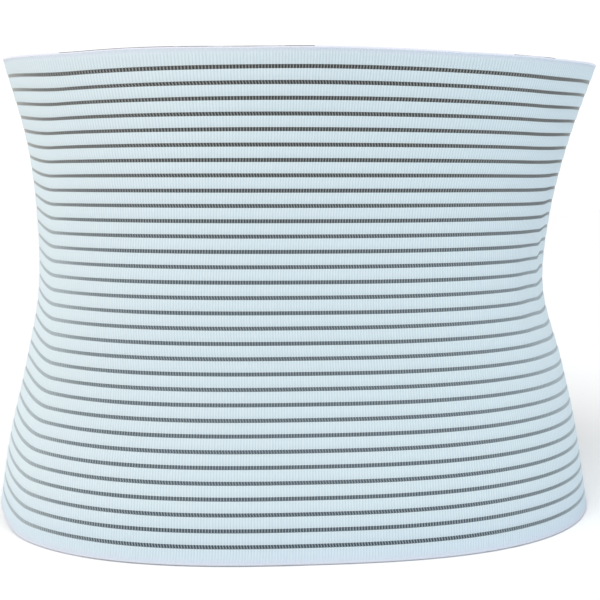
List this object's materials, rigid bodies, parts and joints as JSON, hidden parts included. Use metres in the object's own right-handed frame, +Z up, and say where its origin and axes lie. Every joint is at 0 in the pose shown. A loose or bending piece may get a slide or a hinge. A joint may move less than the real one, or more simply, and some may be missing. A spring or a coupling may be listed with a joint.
{
  "type": "abdominal binder",
  "caption": "Wide ribbed elastic binder with dark stripes, shaped as worn round the waist, lapped at the front over a hook panel, with smooth rims.",
  "frame": {"origin": "the middle of the wearer's waist, halfway up the binder", "axes": "+Z up the body, +Y towards the wearer's front and the closure, -Y the back that the picture shows, +X the flank on the picture's right"},
  "size_m": [0.3253, 0.2276, 0.2352],
  "materials": {
    "ribbed_elastic": "matt covered-rubber elastic, white with narrow charcoal stripes and fine vertical wales",
    "rim_yarn": "smooth matt white yarn edging, without wales",
    "hook_tape": "matt white nylon hook tape"
  },
  "bodies": {
    "root": {"elastic_band": "ribbed_elastic", "top_rim": "rim_yarn", "bottom_rim": "rim_yarn", "hook_panel": "hook_tape"}
  },
  "joints": []
}
